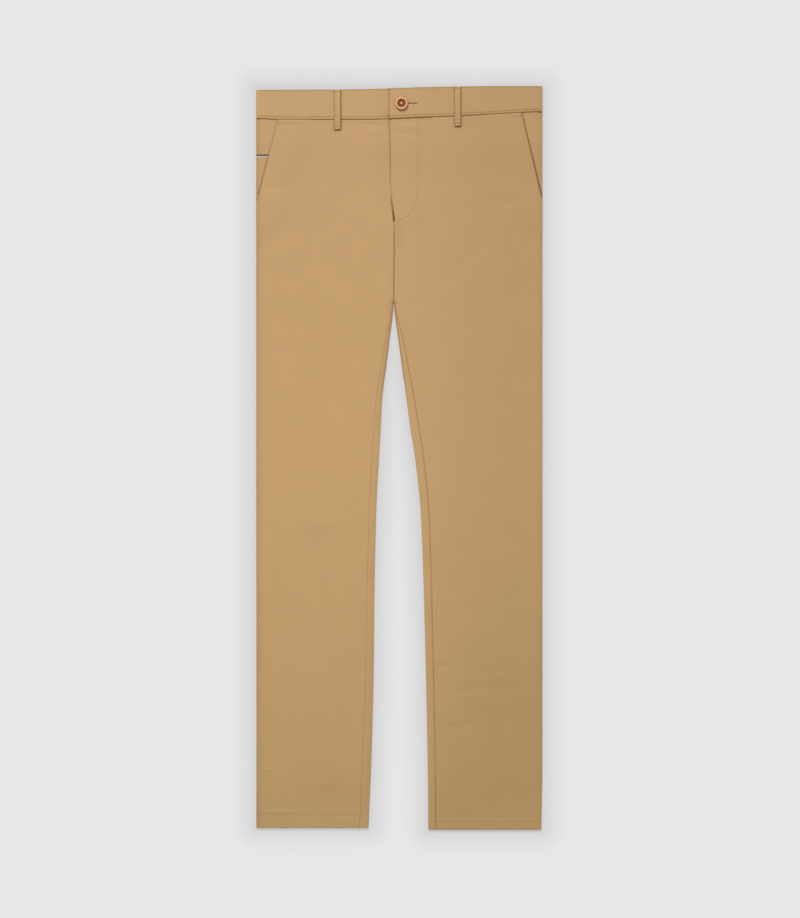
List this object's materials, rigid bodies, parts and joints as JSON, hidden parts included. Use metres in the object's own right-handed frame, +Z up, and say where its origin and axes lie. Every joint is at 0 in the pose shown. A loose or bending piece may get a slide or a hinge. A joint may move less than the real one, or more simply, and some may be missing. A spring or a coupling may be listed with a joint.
{
  "type": "flat-front trousers",
  "caption": "Satin cotton chino trousers laid flat, front up, with a buttoned waistband, belt loops, a zip fly and slant hip pockets.",
  "frame": {"origin": "centre of the laid-out trousers, on the surface they lie on", "axes": "+Y towards the waist, +X towards the wearer's left leg, +Z up, away from the surface, on the side of the fly"},
  "size_m": [0.4184, 1.086, 0.0115],
  "materials": {
    "satin": "tan cotton satin with a soft even sheen",
    "contrast_tape": "matt white tape with dark stitches",
    "pocketing": "matt plain cotton",
    "zip_tape": "matt woven tape",
    "zip_metal": "satin brass",
    "horn": "polished horn look, brown with a paler rim",
    "thread": "matt sewing thread"
  },
  "bodies": {
    "root": {"front_right": "satin", "front_left": "satin", "back_right": "satin", "back_left": "satin", "waistband_front_right": "satin", "waistband_front_left": "satin", "waistband_back_right": "satin", "waistband_back_left": "satin", "belt_loop_front_right": "satin", "belt_loop_front_left": "satin", "belt_loop_back_right": "satin", "belt_loop_back_centre": "satin", "belt_loop_back_left": "satin", "pocket_facing_right": "satin", "pocket_facing_left": "satin", "coin_pocket": "satin", "coin_pocket_trim": "contrast_tape", "pocket_bag_right": "pocketing", "pocket_bag_left": "pocketing", "zip": "zip_tape", "zip_slider": "zip_metal", "button": "horn", "button_shank": "thread"}
  },
  "joints": []
}
